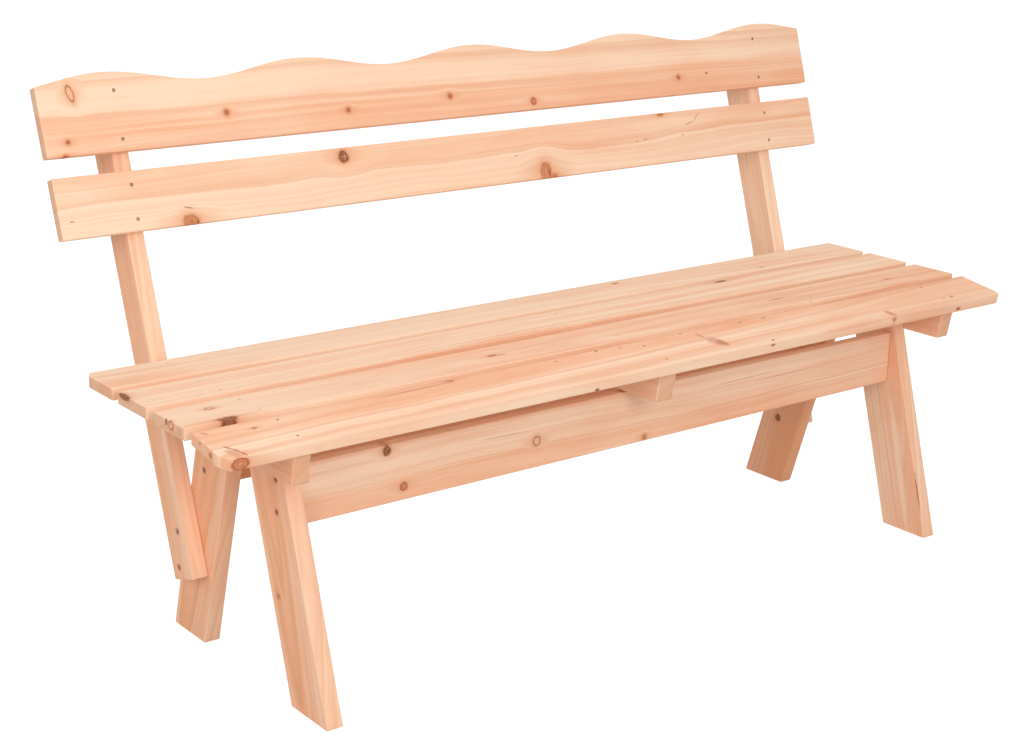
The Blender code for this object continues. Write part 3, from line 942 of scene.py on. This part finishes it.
class BENCH_OT_legs(bpy.types.Operator):
    """Finish the four splayed legs"""

    bl_idname = "bench.legs"
    bl_label = "Legs"

    LEANS = {"front": LEG_LEAN, "rear": -LEG_LEAN}
    PITH_OFFSETS = {"left": 14.0, "right": -22.0}
    # Each leg's rose is partly its own tone and partly painted shade for how light falls on it: rear_right,
    # in the shade under the seat, is made far rosier and darker than the others.
    ROSES = {"front_left": 0.75, "front_right": 0.45, "rear_left": 0.85, "rear_right": 1.5}

    # The knots seen on the legs, each at a (Y, Z) in millimetres on the leg's face
    KNOTS = {
        "front_left": (-179.8, 156.5, 4.0, 4.0, "brown"),
        "rear_right": (63.7, 123.0, 6.0, 6.0, "dark"),
    }

    # A crack and a pale stripe down the outer face
    MARKS = {
        "front_right": (
            Mark(-5, -288.2, 44, 2, 0.3, level=12.6, deep=2),
            Mark(45.3, -254.8, 141.4, 8, -1, turn=-1.5),
        ),
    }

    def execute(self, context):
        seed = 30
        for end, lean in self.LEANS.items():
            along = (0.0, math.sin(lean), math.cos(lean))
            across = (0.0, math.cos(lean), -math.sin(lean))
            for side, offset in self.PITH_OFFSETS.items():
                name = end + "_" + side
                board = Leg("leg_" + name, along, across)
                middle = (board.low[1] + board.high[1]) / 2 / MM
                grain = Grain(
                    seed, middle + offset, 40, heart=34, ring=9,
                    drift=0.03, rise=0.05, rose=self.ROSES[name], streaks=0.3
                )
                finish_board(board, grain, self.knots(board, name), self.MARKS.get(name, ()))
                seed += 1
        return {"FINISHED"}

    def knots(self, board, name):
        if name not in self.KNOTS:
            return ()
        y, z, long, wide, kind = self.KNOTS[name]
        along, across = board.axes[:2] @ (0.0, y, z)
        return (Knot(along, across, long, wide, kind),)


class BENCH_OT_rails(bpy.types.Operator):
    """Finish the apron and the rear stretcher"""

    bl_idname = "bench.rails"
    bl_label = "Apron and Stretcher"

    def execute(self, context):
        self.apron()
        self.stretcher()
        return {"FINISHED"}

    def apron(self):
        board = Board("apron_front", X_AXIS, Z_AXIS)
        grain = Grain(40, 250, -15, heart=44, ring=13, drift=0.01, rose=0.35, veer=0.0001)
        knots = (
            Knot(-444.4, 336.5, 6, 6.5, "dark"),
            Knot(-416.4, 277.6, 6, 6, "target"),
            Knot(-179.1, 298.2, 6, 7, "ring", rough=0.6),
            Knot(33.7, 263.3, 4.5, 4.5),
        )
        marks = (
            Mark(-442, 338, 2, 1.2, -0.4),
            Mark(-235, 318, 55, 0.5, 0.45, turn=-1.5),
            Mark(250, 322, 90, 0.4, 0.4, turn=1),
            Mark(330, 314, 70, 0.4, 0.35, turn=0.5),
        )
        finish_board(board, grain, knots, marks)

    def stretcher(self):
        board = Board("stretcher_rear", X_AXIS, Z_AXIS)
        # Painted shade: the stretcher shows only through the shaded gap under the seat, and a rose of 2.6
        # makes it far rosier and darker than the other boards to stand in for that shade.
        grain = Grain(41, 340, -30, heart=40, ring=9, drift=-0.02, rose=2.6)
        finish_board(board, grain, (Knot(-380, 310, 7, 6), Knot(205, 282, 6, 6)))


class BENCH_OT_posts(bpy.types.Operator):
    """Finish the two leaning posts of the back"""

    bl_idname = "bench.posts"
    bl_label = "Back Posts"

    ROSES = {"left": 0.55, "right": 0.05}

    def execute(self, context):
        for seed, (side, rose) in enumerate(self.ROSES.items(), 50):
            board = Board("post_" + side, UP_THE_BACK, ACROSS_THE_POST)
            middle = (board.low[1] + board.high[1]) / 2 / MM
            grain = Grain(
                seed, middle + 12, 34, heart=30, ring=9,
                drift=0.01, rise=0.02, rose=rose, streaks=0.25
            )
            finish_board(board, grain)
        return {"FINISHED"}


class BENCH_OT_back_boards(bpy.types.Operator):
    """Finish the two boards of the back, the top one with its wavy edge"""

    bl_idname = "bench.back_boards"
    bl_label = "Back Boards"

    def execute(self, context):
        self.top_board(self.lower_board())
        return {"FINISHED"}

    def lower_board(self):
        """Finishes the lower board and gives its lower edge, which both boards' knots are measured from."""
        board = BackBoard("back_board_lower", X_AXIS, UP_THE_BACK)
        board.zero = board.low[1]
        grain = Grain(
            60, 96, -18, heart=50, ring=14,
            rise=0.01, rose=0.08, streaks=0.25, veer=0.0003, wander=58
        )
        knots = (
            Knot(-274.3, 72.9, 8.5, 8.5, "dark", reach=5),
            Knot(-548.3, 4, 13, 11),
            Knot(110.5, 10, 12, 17),
            Knot(127, 1, 6, 6),
            Knot(379, 84, 7, 3),
        )
        marks = (
            Mark(-271.5, 72, 0.8, 9, -0.45),
            Mark(-270, 73, 12, 0.7, -0.4),
            Mark(-538, 3, 2.5, 3, 0.4),
            Mark(117, 8, 3, 9, 0.25),
            Mark(110, 12, 0.9, 6, -0.65),
            Mark(462, 74, 11, 0.8, 0.1, turn=44),
            Mark(443, 64, 13, 0.8, 0.1, turn=13),
            Mark(337, 44.4, 6, 0.8, 0.2, turn=4),
            Mark(317, 42.7, 4, 0.8, 0.2),
            Mark(424, 45.1, 5, 0.8, 0),
            Mark(55, 42.9, 4, 0.8, 0.4),
            Mark(669, 47.7, 9, 0.6, -0.9, turn=10),
            Mark(-730, 24.7, 5, 0.9, 0.6),
            Mark(-549, 24.7, 9, 1, 0.7, turn=-13),
        )
        finish_board(board, grain, knots, marks)
        return board.zero

    def top_board(self, base):
        board = WavyBoard("back_board_top", X_AXIS, UP_THE_BACK)
        board.zero = base
        grain = Grain(
            61, 60, -40, heart=118, ring=15,
            drift=0.004, rose=0.22, streaks=0.35, veer=0.0001, wander=18
        )
        knots = (
            Knot(-697.4, 202, 4.8, 11.5, "ring", turn=12, rough=0.6),
            Knot(-713.5, 135.1, 3.8, 3.8, "red"),
            Knot(-720.6, 115.5, 4.5, 3, "red"),
            Knot(-459.2, 156.4, 5, 5, "red", rough=0.6),
            Knot(-250.1, 143.1, 4.6, 4.4, "red", rough=0.6),
            Knot(-56, 149.9, 5, 5, "red", rough=0.6),
            Knot(109.2, 129.2, 5.2, 6, "target"),
            Knot(435.7, 145.4, 4.5, 4.5, "red"),
        )
        finish_board(board, grain, knots, (Mark(503.4, 148.4, 4, 1.6),))


class BENCH_OT_screws(bpy.types.Operator):
    """Give every screw its dull plated steel"""

    bl_idname = "bench.screws"
    bl_label = "Screws"

    STAIN_STRETCH = (900.0, 900.0, 900.0)
    STAIN_SEED = 4.0
    STAIN_DETAIL = 3.0
    STAIN_STEP = (0.35, 0.65)
    STAIN_SHADE = 0.5
    ROUGHNESS_STEP = (0.3, 0.7, 0.38, 0.62)
    METALLIC = 0.3

    def execute(self, context):
        made, maker = new_material("plated_steel")
        coords = maker.node("ShaderNodeTexCoord", output="Object")
        stretched = maker.stretched(coords, self.STAIN_STRETCH)
        stain = maker.noise(stretched, self.STAIN_SEED, self.STAIN_DETAIL)
        steel = context.scene.bench_colours.screw
        dull = opaque([value * self.STAIN_SHADE for value in steel])
        tone = maker.mix(maker.smooth(stain, *self.STAIN_STEP), opaque(steel), dull)
        roughness = maker.smooth(stain, *self.ROUGHNESS_STEP)
        inputs = {"Base Color": tone, "Roughness": roughness, "Metallic": self.METALLIC}
        shader = maker.node("ShaderNodeBsdfPrincipled", None, inputs)
        maker.node("ShaderNodeOutputMaterial", None, {"Surface": shader})
        for name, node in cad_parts.items():
            if name.startswith("screw_"):
                node.data.materials.clear()
                node.data.materials.append(made)
        return {"FINISHED"}


def area_light(name, place, target, size, watts):
    lamp = bpy.data.lights.new(name, "AREA")
    lamp.shape = "DISK"
    lamp.size = size
    lamp.energy = watts
    obj = bpy.data.objects.new(name, lamp)
    obj.location = place
    obj.rotation_euler = (Vector(target) - Vector(place)).to_track_quat("-Z", "Y").to_euler()
    bpy.context.scene.collection.objects.link(obj)


class BENCH_OT_stage(bpy.types.Operator):
    """Set up the white floor, the studio light and the camera"""

    bl_idname = "bench.stage"
    bl_label = "Stage"

    FLOOR_RADIUS = 60.0
    FLOOR_GLOW = 0.80
    FLOOR_GREY = (0.45, 0.45, 0.45, 1.0)
    SKY_STRENGTH = 0.62

    # Each lamp: its place, the point that it faces, its size and its watts
    LAMPS = {
        "key_light": ((-1.0, -3.7, 1.9), (0.0, 0.0, 0.3), 1.6, 44.0),
        "top_light": ((0.4, 0.3, 4.2), (0.0, 0.0, 0.0), 3.0, 23.5),
        "side_light": ((-3.4, -1.7, 2.0), (0.0, 0.0, 0.2), 1.8, 36.0),
    }

    def execute(self, context):
        self.add_floor(context)
        self.add_sky(context)
        for name, lamp in self.LAMPS.items():
            area_light(name, *lamp)
        self.add_camera(context)
        context.scene.view_settings.view_transform = "Standard"
        return {"FINISHED"}

    def seen_directly(self, maker):
        """1 for rays from the camera, gloss and glass, and 0 for the light that falls on things."""
        rays = ("Is Camera Ray", "Is Glossy Ray", "Is Transmission Ray")
        seen, glossy, through = maker.node("ShaderNodeLightPath", output=rays)
        return seen.math("MAXIMUM", seen.math("MAXIMUM", seen, glossy), through)

    def add_floor(self, context):
        reach = self.FLOOR_RADIUS
        corners = np.array([(-reach, -reach, 0), (reach, -reach, 0), (reach, reach, 0), (-reach, reach, 0)])
        piece = new_piece("studio_floor", corners, np.array([[0, 1, 2, 3]]))
        made, maker = new_material("studio_floor")
        colour = opaque(context.scene.bench_colours.floor)
        plain = maker.node("ShaderNodeBsdfDiffuse", None, {"Color": colour})
        glow = maker.node("ShaderNodeEmission", None, {"Color": WHITE, "Strength": self.FLOOR_GLOW})
        shown = maker.node("ShaderNodeBsdfDiffuse", None, {"Color": self.FLOOR_GREY})
        lit = maker.node("ShaderNodeAddShader", None, {0: glow, 1: shown})
        mixed = maker.node("ShaderNodeMixShader", None, {0: self.seen_directly(maker), 1: plain, 2: lit})
        maker.node("ShaderNodeOutputMaterial", None, {"Surface": mixed})
        piece.data.materials.append(made)

    def add_sky(self, context):
        world = bpy.data.worlds.new("studio_sky")
        world.use_nodes = True
        world.node_tree.nodes.clear()
        context.scene.world = world
        maker = Maker(world.node_tree)
        dim = maker.node("ShaderNodeBackground", None, {"Color": WHITE, "Strength": self.SKY_STRENGTH})
        plain = maker.node("ShaderNodeBackground", None, {"Color": WHITE, "Strength": 1.0})
        mixed = maker.node("ShaderNodeMixShader", None, {0: self.seen_directly(maker), 1: dim, 2: plain})
        maker.node("ShaderNodeOutputWorld", None, {"Surface": mixed})

    def add_camera(self, context):
        camera = bpy.data.cameras.new("camera")
        camera.sensor_width = SENSOR_WIDTH
        camera.lens = FOCAL_PIXELS / IMAGE_WIDTH * SENSOR_WIDTH
        camera.shift_x = (IMAGE_WIDTH / 2 - CENTRE_PIXELS[0]) / IMAGE_WIDTH
        camera.shift_y = (CENTRE_PIXELS[1] - IMAGE_HEIGHT / 2) / IMAGE_WIDTH
        obj = bpy.data.objects.new("camera", camera)
        tip = math.pi / 2 + CAMERA_ELEVATION
        aim = Euler((tip, 0.0, -CAMERA_AZIMUTH)).to_matrix()
        turn = aim @ Matrix.Rotation(CAMERA_ROLL, 3, "Z")
        obj.matrix_world = Matrix.Translation(CAMERA_PLACE) @ turn.to_4x4()
        context.scene.collection.objects.link(obj)
        context.scene.camera = obj


class BENCH_PT_looks(bpy.types.Panel):
    """The bench's pieces, sizes and colours"""

    bl_label = "Garden Bench"
    bl_idname = "BENCH_PT_looks"
    bl_space_type = "VIEW_3D"
    bl_region_type = "UI"
    bl_category = "Bench"

    def draw(self, context):
        for group in (context.scene.bench_sizes, context.scene.bench_colours):
            box = self.layout.box()
            for name in group.__annotations__:
                box.prop(group, name)
        for operator in OPERATORS:
            self.layout.operator(operator.bl_idname)


OPERATORS = (
    BENCH_OT_seat_planks,
    BENCH_OT_supports,
    BENCH_OT_legs,
    BENCH_OT_rails,
    BENCH_OT_posts,
    BENCH_OT_back_boards,
    BENCH_OT_screws,
    BENCH_OT_stage,
)
CLASSES = (BenchSizes, BenchColours, *OPERATORS, BENCH_PT_looks)


def register():
    for each in CLASSES:
        bpy.utils.register_class(each)
    bpy.types.Scene.bench_sizes = bpy.props.PointerProperty(type=BenchSizes)
    bpy.types.Scene.bench_colours = bpy.props.PointerProperty(type=BenchColours)


def unregister():
    del bpy.types.Scene.bench_colours
    del bpy.types.Scene.bench_sizes
    for each in reversed(CLASSES):
        bpy.utils.unregister_class(each)


def main():
    register()
    for operator in OPERATORS:
        group, name = operator.bl_idname.split(".")
        getattr(getattr(bpy.ops, group), name)()


if __name__ == "__main__":
    main()
